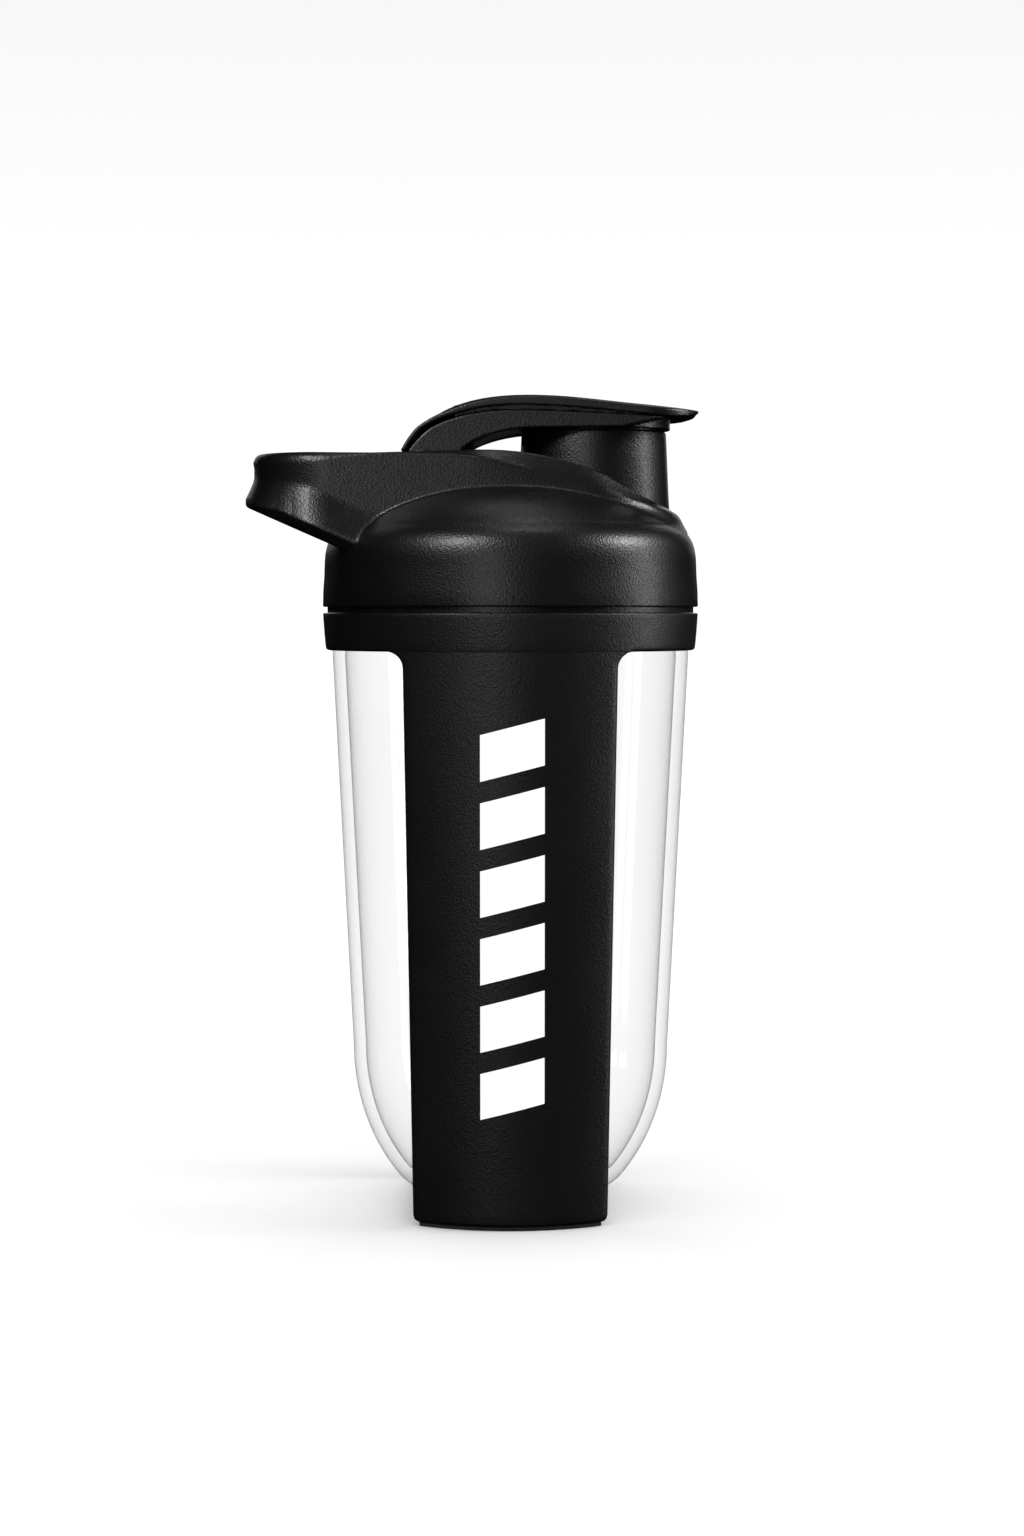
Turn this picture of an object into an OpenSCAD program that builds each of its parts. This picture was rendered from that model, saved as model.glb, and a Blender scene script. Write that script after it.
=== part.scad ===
// Protein shaker bottle: a clear cup in a black strap sleeve, with a screw
// lid, a carry loop and a flip cap over a wide spout. Millimetres, +Z up.
// The origin is the middle of the base, on the surface the bottle stands on.
// The carry loop points to -X and the thumb tab to +X.

/* [Cup and sleeve] */
// Outer radius of the lid and of the top of the collar
body_r = 47.5; // [47:0.1:48]
// Outer radius of the cup just under the collar
cup_top_r = 45.1; // [44.8:0.1:45.2]
// Outer radius of the cup where its round bottom starts
cup_low_r = 40; // [39:0.5:40.5]
// Wall thickness of the cup
cup_wall = 3.1; // [2.5:0.1:3.4]
// Half the width of each strap at the collar
strap_half_top = 26.2; // [24:0.2:27]
// Half the width of each strap at the foot
strap_half_low = 23.9; // [22:0.1:24]
// Thickness of the rubber sole
pad_t = 1; // [0.6:0.1:1.4]

/* [Lid] */
// Lead of the two-start lid thread, per turn
thread_lead = 8.4; // [8:0.2:9]
// Distance from the bottle's axis to the spout's axis
spout_x = 21.1; // [20.5:0.1:21.5]
// Outer radius of the spout at its foot
spout_r = 19; // [18.6:0.1:19.1]
// Radius of the bore that one drinks through
spout_bore_r = 15; // [13:0.5:15.2]
// Number of rings of holes in the mixing grid
grid_rings = 4; // [2:1:4]
// Diameter of one hole of the mixing grid
grid_hole_d = 5.6; // [4:0.2:6]

/* [Carry loop and flip cap] */
// Half the width of the crown and the carry loop
crown_half_w = 24; // [23.8:0.1:24.4]
// Half the width of the finger hole
finger_half_w = 18; // [16:0.5:18.5]
// Half the width of the flip cap
cap_half_w = 19.8; // [19.5:0.1:19.9]
// Diameter of the flip cap's hinge pin
pin_d = 3; // [2.6:0.1:3.2]

/* [Hidden] */
$fn = 96;
eps = 0.05;
// edges are broken by this much
edge_break = 0.5;
// a vertical cut through the lid and cap starts here and is this tall
cut_low_z = 150;
cut_h = 80;

// heights of the cup
cup_floor_z = 3;
cup_taper_low_z = 40.8;
cup_taper_top_z = 140;
shoulder_z = 150;
rim_z = 164.5;
neck_r = 43.5;
neck_bore_r = 40.9;
cup_floor_t = 3.2;
rim_break = 0.8;
// the round bottom is an ellipse that the flat floor cuts off
bottom_depth = 47;

// sleeve
collar_low_z = 141.3;
collar_top_z = 150.7;
sleeve_r_top = 46.7;
sleeve_r_low = 40.5;
sleeve_bore_top = 45.3;
sleeve_bore_low = 38.6;
bridge_t = 2;
bridge_inset = 0.4;
collar_overlap = 3;
collar_flare = 0.3;
pad_inset = 0.6;
window_corner_r = 4;

// lid
lid_low_z = 152.2;
lip_r = 46.4;
lip_low_z = 151;
lid_bore_r = 45;
lid_seat_z = 166.7;
dome_low_z = 162.5;
dome_r = 47.6;
dome_h = 22.6;
crown_seat_z = 177;
ceiling_z = 175;
strainer_bore_r = 40.7;
strainer_bore_top_z = 170.4;
// the cavity narrows in a cone from here up to the ceiling
cavity_cone_low = [37, 173.6];
cavity_cone_top_r = 33;
// the dome meets the lid's wall at this angle of its ellipse
dome_start = 2;
dome_steps = 40;
spout_r_top = 18.3;
spout_step_z = 196.2;
spout_top_z = 198.6;
spout_lip_r = 17.2;

// thread: a trapezoid tooth on each wall, half a pitch apart
tooth_root_h = 2.2;
tooth_tip_h = 1;
tooth_depth = 1.1;
tooth_bite = 0.1;
thread_step = 10;
thread_low_z = 154.2;
neck_thread_turns = 1.05;
lid_thread_turns = 0.85;
lid_thread_start = 60;
lid_thread_low_z = thread_low_z - thread_lead / 4 + thread_lead * lid_thread_start / 360;
runout = 20;
runout_share = 0.1;

// gasket and strainer
gasket_gap = 0.3;
strainer_gap = 0.3;
stack_gap = 0.1;
plate_t = 1.4;
grid_pitch = 8.4;
ring_w = 1.5;
ring_h = 3.2;

// carry loop
loop_corner_r = 16;
loop_bar_t = 9;
loop_left_x = -67.5;
loop_low_z = 167.4;
crown_right_x = 42.6;
crown_base_z = 170;
crown_inner_half_w = 21;
crown_inner_inset = 1.5;
finger_corner_r = 9;
finger_right_x = -34;
pocket_left_x = -40;
pocket_right_x = -8;
pocket_floor_z = 178.6;
pocket_half_w = cap_half_w + 0.4;
spout_gap = 0.3;

// flip cap hinge
pin_x = -22;
pin_z = 187.2;
pin_half_len = 22.6;
barrel_r = 3.4;
pin_fit = 0.02;
barrel_fit = 0.06;
pin_end_gap = 0.2;

// flip cap
skirt_r = 19.3;
skirt_bore_r = 17.9;
skirt_low_z = 196.7;
cap_recess_z = 199.3;
tab_x = 47.5;
tab_corner_r = 14;
cover_core_half_w = 18;
core_x = [-14, 36];
plug_r = 14.8;
plug_tip_r = 13.4;
plug_low_z = 195;
plug_taper_top_z = 197.6;
skirt_overlap = 0.8;
plug_flange_r = 16.9;

// ---- curves ----

// One point of a cubic curve with the control points c, at t from 0 to 1
function curve_at(c, t) =
    c[0] * pow(1 - t, 3) + c[1] * 3 * t * pow(1 - t, 2)
    + c[2] * 3 * t * t * (1 - t) + c[3] * pow(t, 3);

// n + 1 points along a cubic curve
function curve(c, n = 12) = [for (i = [0 : n]) curve_at(c, i / n)];

// n + 1 points on an ellipse round [0, z], from angle a0 to a1
function arc(rx, rz, z, a0, a1, n = 24) =
    [for (i = [0 : n]) let (a = a0 + (a1 - a0) * i / n) [rx * cos(a), z + rz * sin(a)]];

function reversed(list) = [for (i = [len(list) - 1 : -1 : 0]) list[i]];

// Side outlines of the flip cap and the crown, as [x, z]
cap_top = concat(
    curve([[-27, 191.4], [-22.5, 200], [-13.5, 205.7], [4, 205.7]]),
    curve([[4, 205.7], [12, 205.7], [16, 203.9], [28, 203.8]]),
    curve([[28, 203.8], [36, 203.7], [43, 202.9], [tab_x - 0.6, 201.8]]));
cover_low = concat(
    curve([[-24, 195], [-19.5, 200.5], [-10, 203.6], [2, 203.6]]),
    curve([[2, 203.6], [14, 203.6], [28, 201.8], [40, 199.9]]));
arm_high = concat(
    curve([[-25.6, 193.6], [-19, 197.5], [-12, 202.2], [0, 202.2]]),
    curve([[0, 202.2], [12, 202.2], [28, 200.9], [39, 199.8]]));
arm_low = curve([[-11, 190.5], [-10.4, 193.4], [-4, 195.9], [4, 196.5]]);
// down the carry loop's end and back along its lower edge
loop_end = [[-60, 190.4], [-65, 190.4], [-65.6, 189], [-65.4, 186.2], [-65.6, 183.9],
            [-66.9, 181.1], [loop_left_x, 179], [-66.4, 177.4], [-44, loop_low_z],
            [-36, loop_low_z]];
crown_ridge = curve([[-17, 190], [-2, 189.8], [12, 185], [crown_right_x, 176.8]]);
deck_ridge = curve([[-12, 191.3], [8, 192], [19, 187.4], [41, 177.6]]);

// ---- shared shapes ----

// A prism of a side outline [x, z], half_w to each side of the middle plane
module side_prism(outline, half_w) {
    translate([0, half_w, 0])
        rotate([90, 0, 0])
            linear_extrude(2 * half_w)
                polygon(outline);
}

// A bar along X in plan, whose ends have corners of radius r0 and r1
module plan_bar(x0, x1, half_w, r0, r1) {
    translate([x0 + r0, -half_w])
        square([x1 - r1 - x0 - r0, 2 * half_w]);
    for (end = [[x0, r0, 1], [x1, r1, -1]]) {
        translate([min(end[0], end[0] + end[2] * end[1]), end[1] - half_w])
            square([end[1], 2 * (half_w - end[1])]);
        for (s = [-1, 1])
            translate([end[0] + end[2] * end[1], s * (half_w - end[1])])
                circle(end[1]);
    }
}

// A vertical prism of the crown's plan, from z0 up
module crown_plan(z0, half_w, right_x) {
    translate([0, 0, z0])
        linear_extrude(cut_h)
            plan_bar(loop_left_x, right_x, half_w, loop_corner_r, half_w - eps);
}

// One start of a thread: a tooth swept up a helix, from radius root to tip
module thread_start(root, tip, z0, a0, turns) {
    steps = round(turns * 360 / thread_step);
    rings = [for (i = [0 : steps])
        let (a = a0 + i * thread_step,
             z = z0 + thread_lead * i * thread_step / 360,
             f = min(1, i * thread_step / runout, (steps - i) * thread_step / runout),
             top = root + (tip - root) * max(f, runout_share))
        for (p = [[root, -tooth_root_h], [top, -tooth_tip_h],
                  [top, tooth_tip_h], [root, tooth_root_h]])
            [p[0] * cos(a), p[0] * sin(a), z + p[1] / 2]];
    sides = [for (i = [0 : steps - 1], k = [0 : 3])
        let (q = 4 * i + k, n = 4 * i + (k + 1) % 4)
        each [[q, n, n + 4], [q, n + 4, q + 4]]];
    caps = [[0, 2, 1], [0, 3, 2],
            [4 * steps, 4 * steps + 1, 4 * steps + 2],
            [4 * steps, 4 * steps + 2, 4 * steps + 3]];
    faces = concat(sides, caps);
    polyhedron(rings, tip > root ? faces : [for (f = faces) reversed(f)]);
}

// ---- cup and sleeve ----

function cup_outline(gap, depth_gap, floor_z) =
    let (rx = cup_low_r - gap, rz = bottom_depth - depth_gap,
         a = asin((floor_z - cup_taper_low_z) / rz))
    arc(rx, rz, cup_taper_low_z, a, 0);

module cup() {
    inner_floor_z = cup_floor_z + cup_floor_t;
    outer = concat([[0, cup_floor_z]],
                   cup_outline(0, 0, cup_floor_z),
                   [[cup_top_r, cup_taper_top_z],
                    [cup_top_r, shoulder_z - edge_break],
                    [neck_r, shoulder_z + edge_break],
                    [neck_r, rim_z - rim_break],
                    [neck_r - rim_break, rim_z]]);
    inner = concat([[0, inner_floor_z]],
                   cup_outline(cup_wall, cup_wall, inner_floor_z),
                   [[cup_top_r - cup_wall, cup_taper_top_z],
                    [neck_bore_r, shoulder_z],
                    [neck_bore_r, rim_z]]);
    color("azure", 0.45) {
        rotate_extrude() polygon(concat(outer, reversed(inner)));
        for (a = [0, 180])
            thread_start(neck_r - tooth_bite, neck_r + tooth_depth, thread_low_z, a,
                         neck_thread_turns);
    }
}

// What a strap keeps of the sleeve's wall, seen from the front
module strap_front() {
    r = window_corner_r;
    right = concat([[strap_half_low, pad_t]],
                   [for (a = [180 : -15 : 90])
                       [strap_half_top + r + r * cos(a), collar_low_z - r + r * sin(a)]],
                   [[strap_half_top + r, collar_low_z + collar_overlap]]);
    polygon(concat(right, reversed([for (p = right) [-p[0], p[1]]])));
}

module sleeve() {
    wall = [[sleeve_bore_low, 0], [sleeve_r_low, 0], [sleeve_r_top, collar_low_z],
            [sleeve_r_top + collar_flare, collar_low_z + collar_overlap],
            [sleeve_bore_top, collar_low_z + collar_overlap], [sleeve_bore_top, collar_low_z]];
    color("#151515") {
        rotate_extrude()
            polygon([[sleeve_bore_top, collar_low_z],
                     [sleeve_r_top - edge_break, collar_low_z],
                     [sleeve_r_top, collar_low_z + edge_break],
                     [body_r, collar_top_z - edge_break],
                     [body_r - edge_break, collar_top_z],
                     [sleeve_bore_top, collar_top_z]]);
        intersection() {
            rotate_extrude() polygon(wall);
            translate([0, body_r + 1, 0])
                rotate([90, 0, 0])
                    linear_extrude(2 * body_r + 2)
                        strap_front();
        }
        intersection() {
            translate([0, 0, pad_t])
                cylinder(h = bridge_t, r = sleeve_r_low - bridge_inset);
            translate([-strap_half_low, -body_r, 0])
                cube([2 * strap_half_low, 2 * body_r, body_r]);
        }
    }
}

module base_pad() {
    half_w = strap_half_low - pad_inset;
    color("#202020")
        intersection() {
            cylinder(h = pad_t, r = sleeve_r_low - pad_inset);
            translate([-half_w, -body_r, 0])
                cube([2 * half_w, 2 * body_r, pad_t]);
        }
}

// ---- lid ----

module lid_shell() {
    outer = concat([[lip_r, lip_low_z], [lip_r, lid_low_z],
                    [body_r - edge_break, lid_low_z], [body_r, lid_low_z + edge_break]],
                   arc(dome_r, dome_h, dome_low_z, dome_start, 90, dome_steps));
    cavity = [[0, 0], [lid_bore_r, 0], [lid_bore_r, lid_seat_z],
              [strainer_bore_r, lid_seat_z], [strainer_bore_r, strainer_bore_top_z],
              cavity_cone_low, [cavity_cone_top_r, ceiling_z], [0, ceiling_z]];
    color("#121212") {
        difference() {
            rotate_extrude()
                polygon(concat([[0, lip_low_z]], outer));
            rotate_extrude() polygon(cavity);
            crown_plan(crown_seat_z, crown_half_w, crown_right_x);
            translate([spout_x, 0, cut_low_z])
                cylinder(h = cut_h, r = spout_bore_r);
        }
        translate([spout_x, 0, 0])
            rotate_extrude()
                polygon([[spout_bore_r, crown_seat_z - eps],
                         [spout_r, crown_seat_z - eps],
                         [spout_r_top, spout_step_z],
                         [spout_lip_r, spout_step_z],
                         [spout_lip_r, spout_top_z - edge_break],
                         [spout_lip_r - edge_break, spout_top_z],
                         [spout_bore_r + edge_break, spout_top_z],
                         [spout_bore_r, spout_top_z - edge_break]]);
        for (a = [0, 180])
            thread_start(lid_bore_r + tooth_bite, lid_bore_r - tooth_depth,
                         lid_thread_low_z, a + lid_thread_start, lid_thread_turns);
    }
}

module lid_gasket() {
    inner_r = neck_bore_r + gasket_gap;
    translate([0, 0, rim_z + stack_gap])
        color("#3a3a3a")
            rotate_extrude()
                translate([inner_r, 0])
                    square([lid_bore_r - gasket_gap - inner_r, lid_seat_z - rim_z - 2 * stack_gap]);
}

module strainer() {
    ring_r = strainer_bore_r - strainer_gap;
    translate([0, 0, lid_seat_z + stack_gap])
        color("#1a1a1a") {
            linear_extrude(plate_t)
                difference() {
                    circle(ring_r);
                    for (u = [-grid_rings : grid_rings], v = [-grid_rings : grid_rings])
                        if (abs(u + v) <= grid_rings)
                            translate([grid_pitch * (u + v / 2), grid_pitch * v * sin(60)])
                                circle(d = grid_hole_d, $fn = 32);
                }
            rotate_extrude()
                translate([ring_r - ring_w, 0])
                    square([ring_w, ring_h]);
        }
}

module carry_loop() {
    outline = concat(loop_end, [[-36, crown_base_z], [crown_right_x, crown_base_z]],
                     reversed(crown_ridge));
    deck = concat([[-16, 180], [41, crown_base_z]], reversed(deck_ridge));
    color("#141414")
        difference() {
            union() {
                intersection() {
                    side_prism(outline, crown_half_w);
                    crown_plan(cut_low_z, crown_half_w, crown_right_x);
                }
                intersection() {
                    side_prism(deck, crown_inner_half_w);
                    crown_plan(cut_low_z, crown_inner_half_w, crown_right_x - crown_inner_inset);
                }
            }
            // the dome it sits on, flat under the crown
            intersection() {
                rotate_extrude()
                    polygon(concat([[0, 0], [dome_r, 0]],
                                   arc(dome_r, dome_h, dome_low_z, 0, 90, dome_steps)));
                cylinder(h = crown_seat_z, r = body_r + 1);
            }
            // finger hole
            translate([0, 0, cut_low_z])
                linear_extrude(cut_h)
                    plan_bar(loop_left_x + loop_bar_t, finger_right_x, finger_half_w,
                             finger_corner_r, 1);
            // pocket that the cap's arm turns in
            translate([pocket_left_x, -pocket_half_w, pocket_floor_z])
                cube([pocket_right_x - pocket_left_x, 2 * pocket_half_w, cut_h]);
            translate([spout_x, 0, cut_low_z])
                cylinder(h = cut_h, r = spout_r + spout_gap);
            translate([pin_x, 0, pin_z])
                rotate([90, 0, 0])
                    cylinder(h = 2 * pin_half_len, r = pin_d / 2 + pin_fit, center = true);
        }
}

module hinge_pin() {
    color("silver")
        translate([pin_x, 0, pin_z])
            rotate([90, 0, 0])
                cylinder(h = 2 * (pin_half_len - pin_end_gap), r = pin_d / 2, center = true);
}

// ---- flip cap ----

// The cap's plan: a bar whose thumb end has round corners
module cap_plan(half_w, right_x) {
    translate([0, 0, cut_low_z])
        linear_extrude(cut_h)
            plan_bar(pocket_left_x, right_x, half_w, 1, tab_corner_r);
}

module flip_cap() {
    foot = [[-18.6, pin_z], [pin_x - barrel_r, pin_z], [-26.8, 191.4]];
    outline = concat(reversed(arm_low), foot, arm_high, [[28, 196.9]]);
    color("#161616")
        difference() {
            union() {
                intersection() {
                    side_prism(outline, cap_half_w + 1);
                    cap_plan(cap_half_w, tab_x);
                }
                translate([pin_x, 0, pin_z])
                    rotate([90, 0, 0])
                        cylinder(h = 2 * cap_half_w, r = barrel_r, center = true);
                translate([spout_x, 0, skirt_low_z])
                    cylinder(h = cap_recess_z + skirt_overlap - skirt_low_z, r = skirt_r);
            }
            translate([spout_x, 0, cut_low_z])
                cylinder(h = cap_recess_z - cut_low_z, r = skirt_bore_r);
            translate([pin_x, 0, pin_z])
                rotate([90, 0, 0])
                    cylinder(h = 3 * cap_half_w, r = pin_d / 2 + barrel_fit, center = true);
        }
}

module cap_cover() {
    outline = concat(cap_top_of_cover(), [[tab_x + 1, 201.3], [tab_x + 1, 200.3], [45, 199.9]],
                     reversed(cover_low));
    core = concat([for (p = arm_high) if (p[0] > core_x[0] && p[0] < core_x[1]) p],
                  [[core_x[1], 202.3], [4, 204.4], [core_x[0], 202.9]]);
    color("#181818") {
        intersection() {
            side_prism(outline, cap_half_w + 1);
            cap_plan(cap_half_w, tab_x);
        }
        side_prism(core, cover_core_half_w);
    }
}

// The part of the cap's top outline that belongs to the cover
function cap_top_of_cover() = [for (p = cap_top) if (p[0] > -24) p];

module spout_plug() {
    color("#2c2c2c")
        translate([spout_x, 0, 0])
            rotate_extrude()
                polygon([[0, plug_low_z], [plug_tip_r, plug_low_z], [plug_r, plug_taper_top_z],
                         [plug_r, spout_top_z + stack_gap],
                         [plug_flange_r, spout_top_z + stack_gap],
                         [plug_flange_r, cap_recess_z], [0, cap_recess_z]]);
}

cup();
sleeve();
base_pad();
lid_shell();
lid_gasket();
strainer();
carry_loop();
hinge_pin();
flip_cap();
cap_cover();
spout_plug();
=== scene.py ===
# Looks of the protein shaker bottle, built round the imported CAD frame.
# Outlines are in millimetres, in the row frame; meshes are made in metres.
import math

import bpy
import numpy as np
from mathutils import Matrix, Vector


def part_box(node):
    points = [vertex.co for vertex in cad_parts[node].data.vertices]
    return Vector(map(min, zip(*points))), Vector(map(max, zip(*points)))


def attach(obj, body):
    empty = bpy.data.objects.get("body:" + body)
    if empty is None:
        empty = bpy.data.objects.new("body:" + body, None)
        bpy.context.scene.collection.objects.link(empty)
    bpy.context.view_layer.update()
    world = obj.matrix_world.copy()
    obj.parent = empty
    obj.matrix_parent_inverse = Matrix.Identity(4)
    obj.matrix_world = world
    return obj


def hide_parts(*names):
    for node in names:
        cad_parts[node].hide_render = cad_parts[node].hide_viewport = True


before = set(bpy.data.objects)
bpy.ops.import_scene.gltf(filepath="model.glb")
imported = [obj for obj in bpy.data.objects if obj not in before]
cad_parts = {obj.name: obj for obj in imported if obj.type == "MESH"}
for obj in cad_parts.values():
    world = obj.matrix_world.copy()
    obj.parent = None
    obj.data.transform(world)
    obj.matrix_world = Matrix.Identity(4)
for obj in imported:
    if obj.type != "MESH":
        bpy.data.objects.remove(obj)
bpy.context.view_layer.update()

MM = 0.001


def mm_box(node):
    """Lowest and highest corner of a CAD node, in millimetres."""
    low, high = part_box(node)
    return [c / MM for c in low], [c / MM for c in high]


# ---- sizes that come from the frame ----

PAD_LOW_Z, PAD_TOP_Z = (corner[2] for corner in mm_box("base_pad"))
CUP_LOW_Z, RIM_Z = (corner[2] for corner in mm_box("cup"))
COLLAR_TOP_Z = mm_box("sleeve")[1][2]
BODY_R, _, SPOUT_TOP_Z = mm_box("lid_shell")[1]
LOOP_LEFT_X, CROWN_RIGHT_X = (corner[0] for corner in mm_box("carry_loop"))
CROWN_HALF_W = mm_box("carry_loop")[1][1]
TAB_X, CAP_HALF_W, _ = mm_box("cap_cover")[1]
SKIRT_LOW_Z = SPOUT_TOP_Z - 1.9
PLUG_LOW, PLUG_HIGH = mm_box("spout_plug")
SPOUT_X = (PLUG_LOW[0] + PLUG_HIGH[0]) / 2
PLUG_FLANGE_R = (PLUG_HIGH[0] - PLUG_LOW[0]) / 2
PIN_LOW, PIN_HIGH = mm_box("hinge_pin")
PIN_X, PIN_Z = ((PIN_LOW[i] + PIN_HIGH[i]) / 2 for i in (0, 2))
PIN_R = (PIN_HIGH[0] - PIN_LOW[0]) / 2

# ---- sizes of the shapes themselves ----

# where the rows across a rounded edge lie, as shares of its radius
EDGE_SHARES = (0, 0.12, 0.3, 0.6, 1)

# cup
CUP_TOP_R = 45.1
CUP_LOW_R = 40.0
CUP_WALL = 3.1
TAPER_LOW_Z = 40.8
TAPER_TOP_Z = 140.0
BOTTOM_DEPTH = 47.0
CUP_FLOOR_T = 3.2
CUP_FOOT_R = 19.0
CUP_FOOT_RISE = 4.2
CUP_HOLLOW_RISE = 3.6
SHOULDER_Z = 150.0
NECK_R = 43.5
NECK_BORE_R = 40.9

# two-start lid thread
THREAD_LEAD = 8.4
THREAD_LOW_Z = 154.2
TOOTH_DEPTH = 1.1
TOOTH_HALF_H = 1.1
# the tooth's face: height up it, and how far back from its crest as a share of its depth
TOOTH_FACE = [(-0.6, 0.15), (-0.35, 0), (0.35, 0), (0.6, 0.15)]

# sleeve
SLEEVE_FLOOR_Z = CUP_LOW_Z - 0.02
COLLAR_LOW_Z = 141.3
SLEEVE_R_TOP = 46.7
SLEEVE_R_LOW = 40.5
SLEEVE_BORE_TOP = 45.3
SLEEVE_BORE_LOW = 38.8
STRAP_HALF_TOP = 26.2
STRAP_HALF_LOW = 23.9
WINDOW_CORNER_R = 4.0
FOOT_R = 0.9
FOOT_INNER_R = 1.0
FOOT_CORNER_R = 1.6
SLEEVE_EDGE_R = 0.75
COLLAR_RIM_R = 0.35

# bars printed on the front strap
PRINT_LOW_Z = 27.6
PRINT_TOP_Z = 125.4
PRINT_HALF_W = 7.8
PRINT_X = 0.5
PRINT_BARS = 6
PRINT_GAP = 5.2
PRINT_SLANT = 4.0
INK_ABOVE = 0.05
INK_BELOW = 0.1

# lid
LID_LOW_Z = 152.2
LIP_R = 46.4
LID_SEAM_Z = COLLAR_TOP_Z + 0.04
LID_BORE_R = 45.0
LID_SEAT_Z = 166.7
LID_WALL_R = 47.2
LID_WALL_Z = 160.0
STRAINER_BORE_R = 40.7
CEILING_Z = 175.0
DOME_R = 47.6
DOME_H = 22.6
DOME_LOW_Z = 162.5
DOME_TOP_Z = DOME_LOW_Z + DOME_H
DOME_EDGE_R = 42.3
SPOUT_R = 19.0
SPOUT_R_TOP = 18.3
SPOUT_LIP_R = 17.2
SPOUT_BORE_R = 15.0
SPOUT_STEP_Z = 196.2

# crown and carry loop
LOOP_TOP_Z = 190.5
LOOP_CORNER_R = 20.0
LOOP_END_X = -64.6
FLARE = 2.2
FLARE_MORE = 0.9
FLARE_TILT = [(-64, 0.47), (-58, 0.34), (-54, 0.31), (-42, 0.43)]
CREASE = [(-68, 184.2), (-62, 183.8), (-56, 182.9), (-50, 181.9), (-45, 179.4), (-41, 177.3),
          (-36, 175.4), (-28, 173.4)]
END_LIP = 0.35
UNDER_LEFT = (-66.4, 177.2)
UNDER_RIGHT = (-47.4, 168.9)
UNDER_BEVEL = 2.4
LEAN = 0.26
LEAN_Z = 177.0
LEDGE_W = 1.0
RAMP_W = 2.2
RAMP_MORE = 1.2
# the top's field grows more slowly than true distance, which widens the rounded ridge
TOP_SCALE = 0.6
LOOP_BAR_T = 8.6
FINGER_RIGHT_X = -32.0
FINGER_HALF_W = 18.0
FINGER_CORNER_R = 9.0
POCKET_X = (-40.0, -8.0)
POCKET_HALF_W = CAP_HALF_W + 0.4
POCKET_FLOOR_Z = 178.6

# flip cap
SKIRT_R = 19.3
SKIRT_BORE_R = 17.9
CAP_RECESS_Z = 199.3
PIN_FIT = 0.06
PLUG_NOSE_R = 14.8
BARREL_R = 3.4
TAB_CORNER_R = 14.0
CORE_HALF_W = 18.0
CAP_ARCH = 1.35


# ---- curves ----

def fade(value, start, end):
    """0 up to start, 1 from end on, straight in between; end may lie below start."""
    return np.clip((value - start) / (end - start), 0, 1)


def bezier(points, steps=16):
    """Points along a cubic curve, both ends included."""
    a, b, c, d = (np.array(p, float) for p in points)
    return [tuple(a * (1 - t) ** 3 + 3 * b * t * (1 - t) ** 2
                  + 3 * c * t * t * (1 - t) + d * t ** 3)
            for t in np.linspace(0, 1, steps + 1)]


def ellipse(rx, rz, z, a0, a1, steps):
    """Points (r, z) of an ellipse round the height z, from a0 to a1 degrees."""
    return [(rx * math.cos(math.radians(a)), z + rz * math.sin(math.radians(a)))
            for a in np.linspace(a0, a1, steps + 1)]


def rounded(corners, steps=5):
    """A closed outline whose corners (x, z, radius) are rounded; a plain (x, z) stays sharp."""
    outline = []
    for i, corner in enumerate(corners):
        here = Vector(corner[:2])
        radius = corner[2] if len(corner) > 2 else 0
        to_last = Vector(corners[i - 1][:2]) - here
        to_next = Vector(corners[(i + 1) % len(corners)][:2]) - here
        if radius <= 0:
            outline.append(tuple(here))
            continue
        half = to_last.angle(to_next) / 2
        reach = min(radius / math.tan(half), 0.49 * to_last.length, 0.49 * to_next.length)
        radius = reach * math.tan(half)
        bisector = (to_last.normalized() + to_next.normalized()).normalized()
        centre = here + bisector * (radius / math.sin(half))
        first = here + to_last.normalized() * reach - centre
        last = here + to_next.normalized() * reach - centre
        sweep = math.atan2(first.x * last.y - first.y * last.x, first.dot(last))
        for k in range(steps + 1):
            a = sweep * k / steps
            outline.append((centre.x + first.x * math.cos(a) - first.y * math.sin(a),
                            centre.y + first.x * math.sin(a) + first.y * math.cos(a)))
    return outline


# ---- meshes ----

def make_piece(name, verts, faces, material, body, slot, nodes, smooth_deg=38):
    """A mesh piece, its points given in millimetres, that rides on a body for its CAD nodes."""
    mesh = bpy.data.meshes.new(name)
    mesh.from_pydata((np.array(verts, float) * MM).tolist(), [], [list(f) for f in faces])
    mesh.validate()
    mesh.shade_smooth()
    mesh.set_sharp_from_angle(angle=math.radians(smooth_deg))
    mesh.materials.append(material)
    piece = bpy.data.objects.new(name, mesh)
    bpy.context.scene.collection.objects.link(piece)
    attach(piece, body)
    if nodes:
        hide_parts(*nodes)
    return piece


def soften(piece, width, segments, angle_deg):
    """Rounds the edges of the piece that turn by more than the angle."""
    bevel = piece.modifiers.new("soft_edges", "BEVEL")
    bevel.width = width * MM
    bevel.segments = segments
    bevel.limit_method = "ANGLE"
    bevel.angle_limit = math.radians(angle_deg)


def lathe(outline, centre_x=0.0, segments=192):
    """A closed outline [(r, z)], counter-clockwise with r to the right, turned about an upright axis."""
    verts, rings = [], []
    for r, z in outline:
        count = 1 if r < 1e-6 else segments
        rings.append([len(verts) + k for k in range(count)])
        for k in range(count):
            a = 2 * math.pi * k / segments
            verts.append((centre_x + r * math.cos(a), r * math.sin(a), z))
    faces = []
    for low, high in zip(rings, rings[1:] + rings[:1]):
        if len(low) == 1 and len(high) == 1:
            continue
        for k in range(segments):
            n = (k + 1) % segments
            if len(low) == 1:
                faces.append((low[0], high[n], high[k]))
            elif len(high) == 1:
                faces.append((low[k], low[n], high[0]))
            else:
                faces.append((low[k], low[n], high[n], high[k]))
    return verts, faces


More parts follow.
